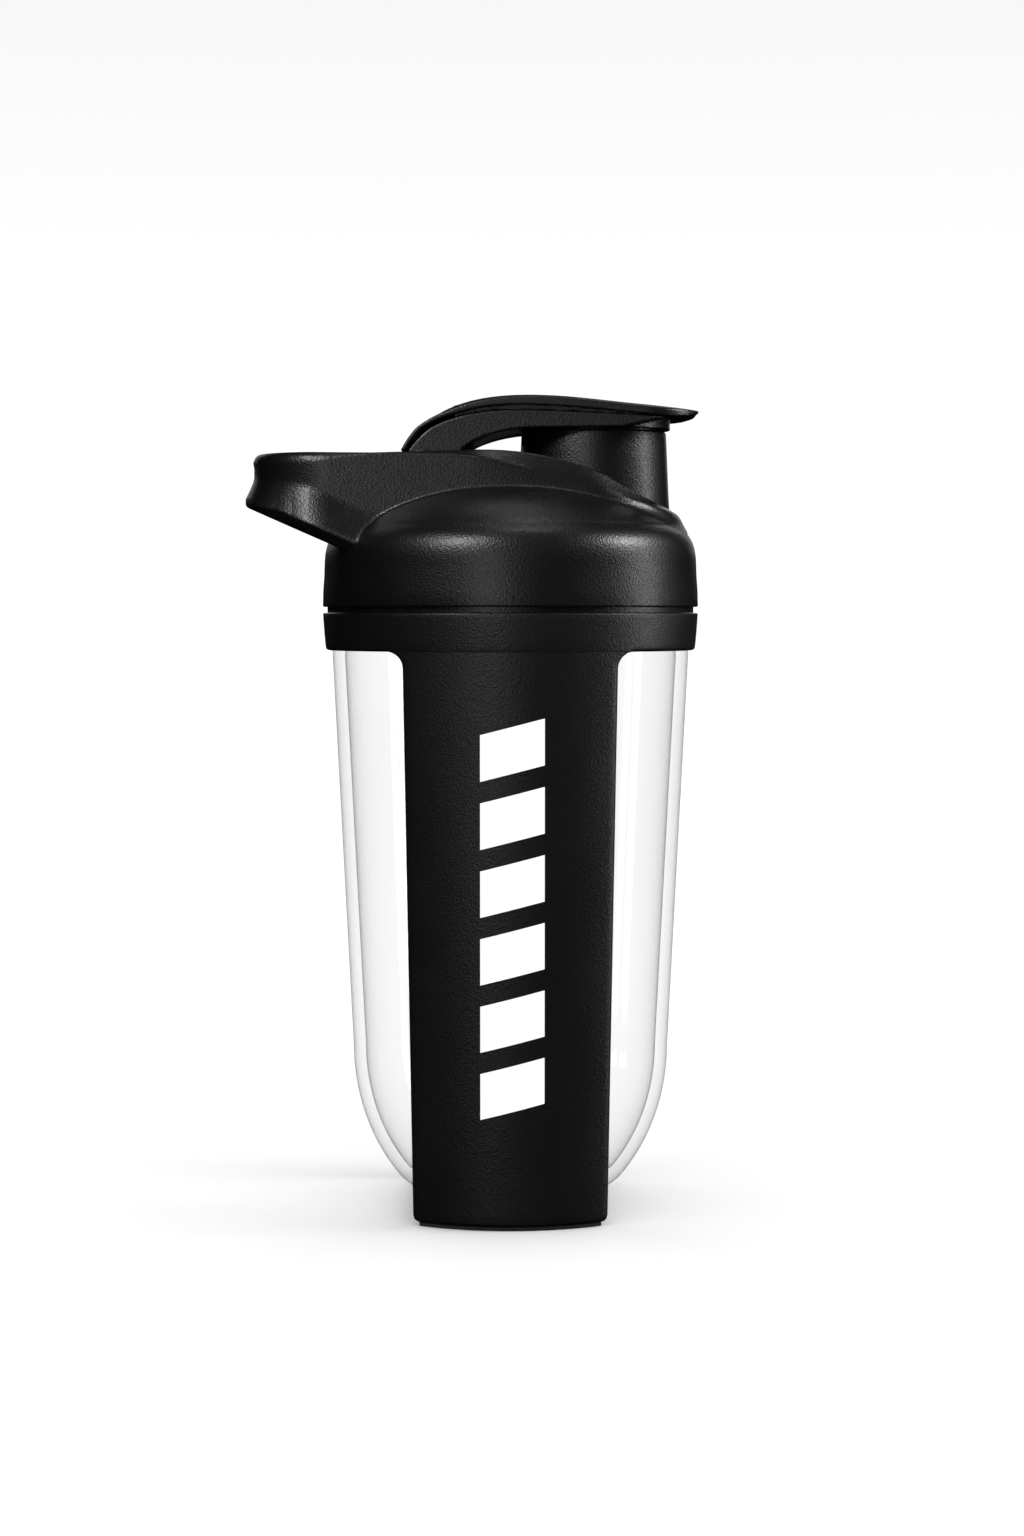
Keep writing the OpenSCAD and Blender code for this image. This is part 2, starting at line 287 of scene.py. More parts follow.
def band(rows):
    """Quads between each row of point numbers and the next."""
    return [(low[k], low[k + 1], high[k + 1], high[k])
            for low, high in zip(rows, rows[1:]) for k in range(len(low) - 1)]


def grid_faces(rows, wide):
    """Quads over a grid of rows, each with wide points."""
    return band([range(r * wide, (r + 1) * wide) for r in range(rows)])


def joined(*parts):
    """Several (verts, faces) as one."""
    verts, faces = [], []
    for more_verts, more_faces in parts:
        start = len(verts)
        verts += list(more_verts)
        faces += [tuple(i + start for i in f) for f in more_faces]
    return verts, faces


def thicken(outer, inner, faces):
    """A closed wall between two sheets that share the same faces."""
    count = len(outer)
    edges = {}
    for f in faces:
        for a, b in zip(f, f[1:] + f[:1]):
            edges[(a, b)] = edges.get((a, b), 0) + 1
    rims = [(b, a, a + count, b + count) for a, b in edges if (b, a) not in edges]
    backs = [tuple(i + count for i in reversed(f)) for f in faces]
    return list(outer) + list(inner), list(faces) + backs + rims


def helix_tooth(root, tip, z0, start, turns, steps_per_turn=72, runout=20):
    """One start of a thread: a rounded tooth swept up a helix, with tapered ends."""
    steps = round(turns * steps_per_turn)
    verts, faces = [], []
    for i in range(steps + 1):
        along = i * 360 / steps_per_turn
        a = math.radians(start + along)
        rise = min(1, along / runout, (steps - i) * 360 / steps_per_turn / runout)
        crest = root + (tip - root) * max(rise, 0.05)
        z = z0 + THREAD_LEAD * along / 360
        face = [(crest - (tip - root) * back, dz) for dz, back in TOOTH_FACE]
        for r, dz in [(root, -TOOTH_HALF_H)] + face + [(root, TOOTH_HALF_H)]:
            verts.append((r * math.cos(a), r * math.sin(a), z + dz))
    ring = len(TOOTH_FACE) + 2
    for i in range(steps):
        for k in range(ring):
            p, q = ring * i + k, ring * i + (k + 1) % ring
            quad = (p, p + ring, q + ring, q)
            faces.append(quad if tip > root else quad[::-1])
    ends = [tuple(range(ring)), tuple(range(ring * steps + ring - 1, ring * steps - 1, -1))]
    faces += ends if tip > root else [e[::-1] for e in ends]
    return verts, faces


# ---- distance fields: negative inside, in millimetres ----

def both(a, b, r=0.0):
    """Where a and b meet, with the edge between them rounded to radius r."""
    return np.minimum(np.maximum(a, b), -r) + np.hypot(np.maximum(a + r, 0), np.maximum(b + r, 0))


def either(a, b, r=1e-3):
    """a and b together, with a fillet of radius r in the corner between them."""
    return np.maximum(np.minimum(a, b), r) - np.hypot(np.maximum(r - a, 0), np.maximum(r - b, 0))


def outline_field(x, z, points):
    """Distance to a closed outline in a plane."""
    nearest = np.full(np.broadcast(x, z).shape, 1e9)
    sign = np.ones(nearest.shape)
    for (ax, az), (bx, bz) in zip(points, points[-1:] + points[:-1]):
        ex, ez, wx, wz = bx - ax, bz - az, x - ax, z - az
        t = np.clip((wx * ex + wz * ez) / (ex * ex + ez * ez + 1e-12), 0, 1)
        nearest = np.minimum(nearest, (wx - t * ex) ** 2 + (wz - t * ez) ** 2)
        above, below, left = z >= az, z < bz, ex * wz > ez * wx
        flips = (above & below & left) | ~(above | below | left)
        sign = np.where(flips, -sign, sign)
    return sign * np.sqrt(nearest)


def under_curve(x, z, points):
    """Distance above a curve z(x), taken square to the curve."""
    xs, zs = (np.array(c) for c in zip(*points))
    slope = np.gradient(zs, xs)
    return (z - np.interp(x, xs, zs)) / np.sqrt(1 + np.interp(x, xs, slope) ** 2)


def round_box(x, y, x0, x1, half_w, r):
    """Distance to a bar from x0 to x1 in plan, with corners of radius r."""
    dx = np.abs(x - (x0 + x1) / 2) - ((x1 - x0) / 2 - r)
    dy = np.abs(y) - (half_w - r)
    return (np.hypot(np.maximum(dx, 0), np.maximum(dy, 0))
            + np.minimum(np.maximum(dx, dy), 0) - r)


def cell_points(value):
    """A point in each grid cell that the surface crosses, and each cell's point number."""
    inside = value < 0
    cells = tuple(n - 1 for n in value.shape)
    corners = [(i, j, k) for i in (0, 1) for j in (0, 1) for k in (0, 1)]
    full = sum(inside[i:i + cells[0], j:j + cells[1], k:k + cells[2]].astype(np.int8)
               for i, j, k in corners)
    crossed = np.argwhere((full > 0) & (full < 8))
    index = np.full(cells, -1)
    index[tuple(crossed.T)] = np.arange(len(crossed))
    total, hits = np.zeros(crossed.shape), np.zeros(len(crossed))
    for a in corners:
        for axis in range(3):
            if a[axis]:
                continue
            b = np.array(a)
            b[axis] = 1
            va = value[tuple((crossed + a).T)]
            vb = value[tuple((crossed + b).T)]
            cut = (va < 0) != (vb < 0)
            t = np.where(cut, va / np.where(cut, va - vb, 1), 0)
            spot = np.array(a) + t[:, None] * (b - np.array(a))
            total += np.where(cut[:, None], spot, 0)
            hits += cut
    return crossed + total / hits[:, None], index


def cell_quads(inside, index):
    """Quads between the cells' points, one for each grid edge that the surface crosses."""
    cells = index.shape
    faces = []
    for axis in range(3):
        u, v = (axis + 1) % 3, (axis + 2) % 3
        first = np.moveaxis(inside, axis, 0)[:-1]
        second = np.moveaxis(inside, axis, 0)[1:]
        spots = np.argwhere(np.moveaxis(first != second, 0, axis))
        spots = spots[(spots[:, u] > 0) & (spots[:, v] > 0)
                      & (spots[:, u] < cells[u]) & (spots[:, v] < cells[v])]
        ring = []
        for du, dv in ((0, 0), (-1, 0), (-1, -1), (0, -1)):
            cell = spots.copy()
            cell[:, u] += du
            cell[:, v] += dv
            ring.append(index[tuple(cell.T)])
        quads = np.stack(ring, 1)
        leaving = inside[tuple(spots.T)]
        faces.append(np.where(leaving[:, None], quads, quads[:, ::-1]))
    return np.concatenate(faces).tolist()


def drawn_onto(field, points, step):
    """The points, moved onto the field's zero surface."""
    nudge = 0.02
    for _ in range(3):
        px, py, pz = points.T
        here = field(px, py, pz)
        slope = np.stack([field(px + nudge, py, pz) - field(px - nudge, py, pz),
                          field(px, py + nudge, pz) - field(px, py - nudge, pz),
                          field(px, py, pz + nudge) - field(px, py, pz - nudge)], 1) / (2 * nudge)
        size = np.maximum((slope ** 2).sum(1), 0.2)
        points = points - np.clip(here / size, -step / 2, step / 2)[:, None] * slope
    return points


def skin(field, low, high, step):
    """The zero surface of a field as quads, by surface nets on a grid of the given step."""
    axes = [np.arange(low[i], high[i] + step, step) for i in range(3)]
    value = np.broadcast_to(field(*np.ix_(*axes)), [len(a) for a in axes])
    places, index = cell_points(value)
    points = places * step + np.array(low)
    return drawn_onto(field, points, step), cell_quads(value < 0, index)


# ---- materials ----

def new_material(name):
    """A new material, with its nodes and links."""
    material = bpy.data.materials.new(name)
    material.use_nodes = True
    return material, material.node_tree.nodes, material.node_tree.links


def object_noise(nodes, links, kind, scale, **inputs):
    """A procedural texture in the object's own space."""
    place = nodes.new("ShaderNodeTexCoord")
    texture = nodes.new(kind)
    texture.inputs["Scale"].default_value = scale
    for key, number in inputs.items():
        texture.inputs[key].default_value = number
    links.new(place.outputs["Object"], texture.inputs["Vector"])
    return texture


def remapped(nodes, links, source, low, high):
    """A value that runs from low to high while the source runs from 0 to 1."""
    scale = nodes.new("ShaderNodeMapRange")
    scale.inputs["To Min"].default_value = low
    scale.inputs["To Max"].default_value = high
    links.new(source, scale.inputs["Value"])
    return scale.outputs["Result"]


def add_bump(nodes, links, height, shader, strength, depth):
    """Lets the height, times the depth in millimetres, tilt the shader's normal."""
    bump = nodes.new("ShaderNodeBump")
    bump.inputs["Strength"].default_value = strength
    bump.inputs["Distance"].default_value = depth * MM
    links.new(height, bump.inputs["Height"])
    links.new(bump.outputs["Normal"], shader.inputs["Normal"])


def pebbled_black(name, base, roughness, grain, depth):
    """Matte black moulded plastic with a fine leathery grain."""
    material, nodes, links = new_material(name)
    shader = nodes["Principled BSDF"]
    pebbles = object_noise(nodes, links, "ShaderNodeTexVoronoi", grain)
    pebbles.feature = "SMOOTH_F1"
    pebbles.inputs["Smoothness"].default_value = 0.6
    dust = object_noise(nodes, links, "ShaderNodeTexNoise", grain * 2.1, Detail=2.0)
    cloud = object_noise(nodes, links, "ShaderNodeTexNoise", 45.0, Detail=3.0)

    height = nodes.new("ShaderNodeMath")
    height.operation = "MULTIPLY_ADD"
    height.inputs[1].default_value = 0.45
    links.new(dust.outputs["Fac"], height.inputs[0])
    links.new(pebbles.outputs["Distance"], height.inputs[2])
    add_bump(nodes, links, height.outputs[0], shader, 1.0, depth)

    tint = nodes.new("ShaderNodeMix")
    tint.data_type = "RGBA"
    tint.inputs[6].default_value = [c * 0.8 for c in base] + [1]
    tint.inputs[7].default_value = [c * 1.25 for c in base] + [1]
    links.new(cloud.outputs["Fac"], tint.inputs[0])
    links.new(tint.outputs[2], shader.inputs["Base Color"])

    worn = remapped(nodes, links, cloud.outputs["Fac"], roughness - 0.05, roughness + 0.06)
    links.new(worn, shader.inputs["Roughness"])
    return material


def clear_plastic(name):
    """Clear moulded copolyester: see-through, with painted shade that greys it where the wall is seen
    edge on.
    """
    material, nodes, links = new_material(name)
    nodes.remove(nodes["Principled BSDF"])
    weight = nodes.new("ShaderNodeLayerWeight")
    weight.inputs["Blend"].default_value = 0.5
    facing = weight.outputs["Facing"]

    # painted shade: the see-through colour turns grey where the wall is seen edge on, standing in for
    # the refraction and reflections there
    tint = nodes.new("ShaderNodeValToRGB")
    shades = tint.color_ramp.elements
    shades[0].color = (0.995, 0.995, 0.995, 1)
    shades[1].color = (0.5, 0.5, 0.505, 1)
    for place, shade in ((0.80, 0.985), (0.93, 0.90), (0.985, 0.62)):
        shades.new(place).color = (shade, shade, shade, 1)
    links.new(facing, tint.inputs["Fac"])
    clear = nodes.new("ShaderNodeBsdfTransparent")
    links.new(tint.outputs["Color"], clear.inputs["Color"])

    gloss = nodes.new("ShaderNodeBsdfGlossy")
    flow = object_noise(nodes, links, "ShaderNodeTexNoise", 60.0, Detail=2.0)
    links.new(remapped(nodes, links, flow.outputs["Fac"], 0.03, 0.09), gloss.inputs["Roughness"])
    steep = nodes.new("ShaderNodeMath")
    steep.operation = "POWER"
    steep.inputs[1].default_value = 5.0
    links.new(facing, steep.inputs[0])

    blend = nodes.new("ShaderNodeMixShader")
    links.new(remapped(nodes, links, steep.outputs[0], 0.03, 0.45), blend.inputs["Fac"])
    links.new(clear.outputs["BSDF"], blend.inputs[1])
    links.new(gloss.outputs["BSDF"], blend.inputs[2])
    links.new(blend.outputs["Shader"], nodes["Material Output"].inputs["Surface"])
    return material


def white_ink(name):
    """Flat white printing ink with a faint mottle."""
    material, nodes, links = new_material(name)
    shader = nodes["Principled BSDF"]
    mottle = object_noise(nodes, links, "ShaderNodeTexNoise", 900.0, Detail=3.0)
    shade = nodes.new("ShaderNodeValToRGB")
    shade.color_ramp.elements[0].color = (0.92, 0.92, 0.92, 1)
    shade.color_ramp.elements[1].color = (1.0, 1.0, 1.0, 1)
    links.new(mottle.outputs["Fac"], shade.inputs["Fac"])
    links.new(shade.outputs["Color"], shader.inputs["Base Color"])
    shader.inputs["Roughness"].default_value = 0.5
    return material


def soft_rubber(name, base, roughness):
    """Moulded rubber or silicone with a fine dull texture."""
    material, nodes, links = new_material(name)
    shader = nodes["Principled BSDF"]
    shader.inputs["Base Color"].default_value = [*base, 1]
    mottle = object_noise(nodes, links, "ShaderNodeTexNoise", 1400.0, Detail=4.0)
    add_bump(nodes, links, mottle.outputs["Fac"], shader, 0.6, 0.02)
    rough = remapped(nodes, links, mottle.outputs["Fac"], roughness - 0.08, roughness + 0.08)
    links.new(rough, shader.inputs["Roughness"])
    return material


def ground_steel(name):
    """Ground stainless steel with a fine uneven sheen."""
    material, nodes, links = new_material(name)
    shader = nodes["Principled BSDF"]
    shader.inputs["Base Color"].default_value = (0.62, 0.62, 0.61, 1)
    shader.inputs["Metallic"].default_value = 1.0
    mottle = object_noise(nodes, links, "ShaderNodeTexNoise", 2500.0, Detail=2.0)
    rough = remapped(nodes, links, mottle.outputs["Fac"], 0.22, 0.4)
    links.new(rough, shader.inputs["Roughness"])
    return material


# moulded grain, in cells per metre
GRAIN = 1900.0
DEEP_BLACK = (0.0018, 0.0018, 0.0019)
LID_BLACK = pebbled_black("lid_black", DEEP_BLACK, 0.36, GRAIN, 0.055)
SLEEVE_BLACK = pebbled_black("sleeve_black", DEEP_BLACK, 0.42, GRAIN, 0.065)
GRID_BLACK = pebbled_black("grid_black", (0.02, 0.02, 0.022), 0.35, 3500.0, 0.01)
CLEAR = clear_plastic("clear_plastic")
INK = white_ink("white_ink")
SOLE_RUBBER = soft_rubber("sole_rubber", (0.012, 0.012, 0.012), 0.75)
SILICONE = soft_rubber("silicone", (0.09, 0.09, 0.095), 0.55)
STEEL = ground_steel("ground_steel")


# ---- cup ----

def cup_bottom(gap, floor_z):
    """The round bottom of the cup's wall, gap inside its outer face, from the floor up."""
    rx, rz = CUP_LOW_R - gap, BOTTOM_DEPTH - gap
    start = math.degrees(math.asin((floor_z - TAPER_LOW_Z) / rz))
    return ellipse(rx, rz, TAPER_LOW_Z, start, 0, 40)


def cup_taper(gap, steps=24):
    """The straight wall above it; rings close together keep the taper smooth."""
    return [(CUP_LOW_R + (CUP_TOP_R - CUP_LOW_R) * t - gap,
             TAPER_LOW_Z + (TAPER_TOP_Z - TAPER_LOW_Z) * t)
            for t in np.linspace(0, 1, steps + 1)[1:]]


def cup_outside():
    """The cup's outer face, from the middle of its foot up to the neck."""
    bottom = [p for p in cup_bottom(0, CUP_LOW_Z) if p[1] > CUP_LOW_Z + CUP_FOOT_RISE]
    foot = bezier([(CUP_FOOT_R, CUP_LOW_Z), (CUP_FOOT_R + 3.4, CUP_LOW_Z),
                   (CUP_FOOT_R + 6.0, CUP_LOW_Z + 1.7), bottom[0]], 10)
    shoulder = [(CUP_TOP_R, SHOULDER_Z - 0.9), (CUP_TOP_R - 0.3, SHOULDER_Z - 0.3),
                (NECK_R + 0.3, SHOULDER_Z + 0.2), (NECK_R, SHOULDER_Z + 0.7)]
    return [(0, CUP_LOW_Z)] + foot + bottom[1:] + cup_taper(0) + shoulder


def cup_inside():
    """The cup's inner face, from the middle of its floor up to the neck."""
    floor_z = CUP_LOW_Z + CUP_FLOOR_T
    bottom = [p for p in cup_bottom(CUP_WALL, floor_z) if p[1] > floor_z + CUP_HOLLOW_RISE]
    hollow = bezier([(13.0, floor_z), (17.5, floor_z), (20.5, floor_z + 1.2), bottom[0]], 10)
    wall = hollow[:-1] + bottom + cup_taper(CUP_WALL)
    return [(0, floor_z)] + wall + [(NECK_BORE_R, SHOULDER_Z)]


def build_cup():
    """The clear cup with the two thread starts on its neck."""
    rim = rounded([(NECK_BORE_R, RIM_Z - 3), (NECK_R, RIM_Z - 3), (NECK_R, RIM_Z, 1.0),
                   (NECK_BORE_R, RIM_Z, 0.9)])[2:]
    walls = lathe(cup_outside() + rim + cup_inside()[::-1])
    teeth = [helix_tooth(NECK_R - 0.1, NECK_R + TOOTH_DEPTH, THREAD_LOW_Z, a, 1.05) for a in (0, 180)]
    cup = make_piece("clear_cup", *joined(walls, *teeth), CLEAR, "bottle", "clear_plastic", ["cup"])
    cup.visible_shadow = False


# ---- sleeve ----

def sleeve_r(z):
    """Outer radius of the sleeve at a height."""
    if z >= COLLAR_LOW_Z:
        t = (z - COLLAR_LOW_Z) / (COLLAR_TOP_Z - COLLAR_LOW_Z)
        return SLEEVE_R_TOP + (BODY_R - 0.02 - SLEEVE_R_TOP) * t ** 0.7
    return SLEEVE_R_LOW + (SLEEVE_R_TOP - SLEEVE_R_LOW) * z / COLLAR_LOW_Z


def sleeve_bore(z):
    """Inner radius of the sleeve at a height."""
    t = min(1, z / COLLAR_LOW_Z)
    return SLEEVE_BORE_LOW + (SLEEVE_BORE_TOP - SLEEVE_BORE_LOW) * t


def strap_half(z):
    """Half the strap's width at a height, with the foot's and the window's corners."""
    half = STRAP_HALF_LOW + (STRAP_HALF_TOP - STRAP_HALF_LOW) * z / COLLAR_LOW_Z
    up = z - PAD_TOP_Z
    if up < FOOT_CORNER_R:
        half -= FOOT_CORNER_R - math.sqrt(FOOT_CORNER_R ** 2 - (FOOT_CORNER_R - up) ** 2)
    down = COLLAR_LOW_Z - z
    if down < WINDOW_CORNER_R:
        half += WINDOW_CORNER_R - math.sqrt(WINDOW_CORNER_R ** 2 - (WINDOW_CORNER_R - down) ** 2)
    return half


def edge_inset(distance, r=SLEEVE_EDGE_R):
    """How far an edge of radius r lies back from the face, at a distance from that edge."""
    short = max(0, r - distance)
    return r - math.sqrt(r ** 2 - short ** 2)


def strap_inset(u, z):
    """The inset of the strap's long edges, at the share u of its half-width."""
    return edge_inset((1 - abs(u)) * strap_half(z))


def on_circle(x, radius, side):
    """Where a circle of this radius passes x; side is -1 in front, 1 behind."""
    return side * math.sqrt(radius ** 2 - x ** 2)


def strap_columns():
    """Where the strap's columns stand, as shares of its half-width."""
    rim = [1 - share * SLEEVE_EDGE_R / STRAP_HALF_TOP for share in EDGE_SHARES]
    return [-u for u in rim] + list(np.linspace(-0.93, 0.93, 29)) + rim[::-1]


def strap_row(columns, side, outer, inner):
    """The outer and inner points across a strap, for an outer and an inner (radius, height)."""
    (r, z), (r_in, z_in) = outer, inner
    half = strap_half(z)
    return ([(u * half, on_circle(u * half, r - strap_inset(u, z), side), z) for u in columns],
            [(u * half, on_circle(u * half, r_in, side), z_in) for u in columns])


def base_rows(columns, side):
    """The strap's rows under the cup, from the middle of the base out."""
    foot_r = sleeve_r(PAD_TOP_Z) - FOOT_R
    bore_r = sleeve_bore(CUP_LOW_Z) - FOOT_INNER_R
    xs = [u * strap_half(PAD_TOP_Z) for u in columns]
    return [([(x, t * on_circle(x, foot_r, side), PAD_TOP_Z) for x in xs],
             [(x, t * on_circle(x, bore_r, side), SLEEVE_FLOOR_Z) for x in xs])
            for t in np.linspace(0, 1, 12)[:-1]]


def foot_rows(columns, side):
    """The strap's rows round the foot, where the base turns up into the wall."""
    foot_r = sleeve_r(PAD_TOP_Z) - FOOT_R
    bore_r = sleeve_bore(CUP_LOW_Z) - FOOT_INNER_R
    rows = []
    for a in np.radians([90, 72, 54, 36, 18, 0]):
        z = PAD_TOP_Z + FOOT_R * (1 - math.sin(a))
        z_in = SLEEVE_FLOOR_Z + FOOT_INNER_R * (1 - math.sin(a))
        r = foot_r + FOOT_R * math.cos(a)
        r_in = bore_r + FOOT_INNER_R * math.cos(a)
        rows.append(strap_row(columns, side, (r, z), (r_in, z_in)))
    return rows


def wall_rows(columns, side):
    """The strap's rows above the foot, closer together round the window's corners."""
    corner = [COLLAR_LOW_Z - WINDOW_CORNER_R * (1 - math.sin(math.radians(a)))
              for a in range(0, 81, 10)]
    straight = list(np.linspace(PAD_TOP_Z + FOOT_R + 0.8, corner[0], 60))[:-1]
    rows = []
    for z in straight + corner:
        z_in = max(z, SLEEVE_FLOOR_Z + 1.2)
        rows.append(strap_row(columns, side, (sleeve_r(z), z), (sleeve_bore(z_in), z_in)))
    return rows


def collar_rings(columns):
    """Full rings round the collar; in front and behind, their columns carry on from the straps."""
    top_half = STRAP_HALF_TOP + WINDOW_CORNER_R
    reach = math.asin(top_half / SLEEVE_R_TOP)
    strap_angles = [math.asin(u * top_half / SLEEVE_R_TOP) for u in columns]
    gap_angles = list(np.linspace(reach, math.pi - reach, 44))[1:-1]
    half_turn = strap_angles + gap_angles
    angles = half_turn + [math.pi + a for a in half_turn]
    insets = [strap_inset(u, COLLAR_LOW_Z) for u in columns] + [SLEEVE_EDGE_R] * len(gap_angles)
    heights = ([COLLAR_LOW_Z + SLEEVE_EDGE_R * share for share in EDGE_SHARES]
               + list(np.linspace(COLLAR_LOW_Z + 1.6, COLLAR_TOP_Z - 1.4, 6))
               + [COLLAR_TOP_Z - COLLAR_RIM_R * share for share in EDGE_SHARES[::-1]])
    rings = []
    for z in heights:
        r = sleeve_r(z) - edge_inset(COLLAR_TOP_Z - z, COLLAR_RIM_R)
        low_inset = edge_inset(z - COLLAR_LOW_Z)
        radii = [r - min(inset, low_inset) for inset in insets * 2]
        rings.append(([(out * math.sin(a), -out * math.cos(a), z) for out, a in zip(radii, angles)],
                      [(sleeve_bore(z) * math.sin(a), -sleeve_bore(z) * math.cos(a), z)
                       for a in angles]))
    return rings


def build_sleeve():
    """Two straps, joined under the cup, with a collar round the top."""
    columns = strap_columns()
    front = base_rows(columns, -1) + foot_rows(columns, -1) + wall_rows(columns, -1)
    back = base_rows(columns, 1)[1:] + foot_rows(columns, 1) + wall_rows(columns, 1)
    outer, inner, rows = [], [], []
    for line_out, line_in in front + back + collar_rings(columns):
        rows.append(list(range(len(outer), len(outer) + len(line_out))))
        outer += line_out
        inner += line_in

    # the two straps share the row in the middle of the base
    front_rows = rows[:len(front)]
    back_rows = rows[:1] + rows[len(front):len(front) + len(back)]
    rings = rows[len(front) + len(back):]
    faces = band(front_rows) + [quad[::-1] for quad in band(back_rows)]
    wide, half_turn = len(columns), len(rings[0]) // 2
    faces += band([front_rows[-1], rings[0][:wide]])
    faces += band([back_rows[-1][::-1], rings[0][half_turn:half_turn + wide]])
    faces += band([ring + ring[:1] for ring in rings])
    make_piece("strap_sleeve", *thicken(outer, inner, faces), SLEEVE_BLACK, "bottle",
               "black_plastic", ["sleeve"])


def build_sole():
    """The rubber sole: a thin plate with round ends, a little inside the sleeve's foot."""
    half, reach = STRAP_HALF_LOW - 1.5, SLEEVE_R_LOW - 0.9
    columns, shares = np.linspace(-1, 1, 25), np.linspace(-1, 1, 41)
    plan = [(u * half, t * on_circle(u * half, reach, 1)) for t in shares for u in columns]
    low = [(x, y, PAD_LOW_Z) for x, y in plan]
    high = [(x, y, PAD_TOP_Z + 0.05) for x, y in plan]
    faces = grid_faces(len(shares), len(columns))
    sole = make_piece("rubber_sole", *thicken(high, low, faces), SOLE_RUBBER, "bottle",
                      "sole_rubber", ["base_pad"])
    soften(sole, 0.25, 2, 50)


def print_bar(low_z, height):
    """One slanted bar, as a thin sheet bent round the strap."""
    across, up = np.linspace(-1, 1, 15), np.linspace(0, 1, 9)
    sheets = []
    for lift in (INK_ABOVE, -INK_BELOW):
        sheet = []
        for v in up:
            for u in across:
                x = PRINT_X + u * PRINT_HALF_W
                z = low_z + v * height + PRINT_SLANT * (u + 1) / 2
                sheet.append((x, on_circle(x, sleeve_r(z) + lift, -1), z))
        sheets.append(sheet)
    return thicken(*sheets, grid_faces(len(up), len(across)))


def build_print():
    """Plain slanted bars printed up the front strap."""
    free_h = PRINT_TOP_Z - PRINT_LOW_Z - PRINT_SLANT - PRINT_GAP * (PRINT_BARS - 1)
    height = free_h / PRINT_BARS
    bars = [print_bar(PRINT_LOW_Z + i * (height + PRINT_GAP), height) for i in range(PRINT_BARS)]
    make_piece("print_bars", *joined(*bars), INK, "bottle", "white_print", [])


# ---- lid ----

def shoulder_and_dome():
    """The lid's outline from the top of its wall to the middle of its dome."""
    shoulder = bezier([(47.1, 163.0), (46.95, 168.3), (45.6, 170.5), (42.5, 172.55)], 16)
    start = math.degrees(math.acos(DOME_EDGE_R / DOME_R))
    return shoulder + ellipse(DOME_R, DOME_H, DOME_LOW_Z, start, 88, 34)


def lid_outside():
    """The lid's outer face, from the seam inside its lip up to the middle of the dome."""
    wall = [(LID_BORE_R, LID_SEAM_Z), (LIP_R, LID_SEAM_Z, 0.1), (LIP_R, LID_LOW_Z + 0.05),
            (BODY_R, LID_LOW_Z, 0.45), (BODY_R - 0.1, LID_LOW_Z + 4)]
    inside = [(0, LID_LOW_Z + 4), (0, LID_SEAM_Z)]
    wall = rounded(wall + inside)[:-len(inside)]
    return wall + [(LID_WALL_R, LID_WALL_Z)] + shoulder_and_dome() + [(0, DOME_TOP_Z)]


def lid_inside():
    """The lid's inner face, from the seam up past the gasket's seat to the ceiling's middle."""
    return rounded([(LID_BORE_R, LID_SEAM_Z), (LID_BORE_R, LID_SEAT_Z),
                    (STRAINER_BORE_R, LID_SEAT_Z, 0.3), (STRAINER_BORE_R, 170.4, 0.8),
                    (37, 173.6, 1.5), (33, CEILING_Z, 1.5), (0, CEILING_Z)])[1:]


def build_lid():
    """The lid's shell with its thread, open under the spout and where the cap's arm turns."""
    walls = lathe(lid_outside() + lid_inside()[::-1])
    thread_z = THREAD_LOW_Z - THREAD_LEAD / 4 + THREAD_LEAD / 6
    teeth = [helix_tooth(LID_BORE_R + 0.1, LID_BORE_R - TOOTH_DEPTH, thread_z, a + 60, 0.85)
             for a in (0, 180)]
    lid = make_piece("lid_dome", *joined(walls, *teeth), LID_BLACK, "lid", "lid_plastic",
                     ["lid_shell"])
    cut_out(lid, *bore_cutter())
    cut_out(lid, *pocket_cutter())


def build_spout():
    """The round spout, with a step that the cap's skirt closes over."""
    outline = rounded([(SPOUT_BORE_R, CEILING_Z - 0.2, 0.6), (SPOUT_R + 0.3, CEILING_Z + 0.3),
                       (SPOUT_R, 180.0), (SPOUT_R_TOP, SPOUT_STEP_Z, 0.5),
                       (SPOUT_LIP_R, SPOUT_STEP_Z + 0.1, 0.2), (SPOUT_LIP_R, SPOUT_TOP_Z, 0.8),
                       (SPOUT_BORE_R, SPOUT_TOP_Z, 0.8)])
    make_piece("spout", *lathe(outline, SPOUT_X, 128), LID_BLACK, "lid", "lid_plastic", [])


def bore_cutter():
    """The round hole under the spout."""
    r, z0 = SPOUT_BORE_R + 1.0, CEILING_Z - 8
    return lathe([(0, z0), (r, z0), (r, SPOUT_TOP_Z), (0, SPOUT_TOP_Z)], SPOUT_X, 128)


def pocket_cutter():
    """The part of the arm's pocket that lies within the dome."""
    verts = [(x, y, z) for x in POCKET_X for y in (-POCKET_HALF_W, POCKET_HALF_W)
             for z in (POCKET_FLOOR_Z, LOOP_TOP_Z)]
    faces = [(0, 1, 3, 2), (4, 6, 7, 5), (0, 4, 5, 1), (2, 3, 7, 6), (0, 2, 6, 4), (1, 5, 7, 3)]
    return verts, faces


def cut_out(piece, verts, faces):
    """Cuts the body with these corners and faces out of the piece's own mesh."""
    mesh = bpy.data.meshes.new("cutter")
    mesh.from_pydata((np.array(verts) * MM).tolist(), [], faces)
    cutter = bpy.data.objects.new("cutter", mesh)
    bpy.context.scene.collection.objects.link(cutter)
    cut = piece.modifiers.new("hole", "BOOLEAN")
    cut.object = cutter
    cut.solver = "EXACT"
    with bpy.context.temp_override(object=piece, active_object=piece):
        bpy.ops.object.modifier_apply(modifier=cut.name)
    bpy.data.objects.remove(cutter)
    bpy.data.meshes.remove(mesh)


# ---- carry loop ----

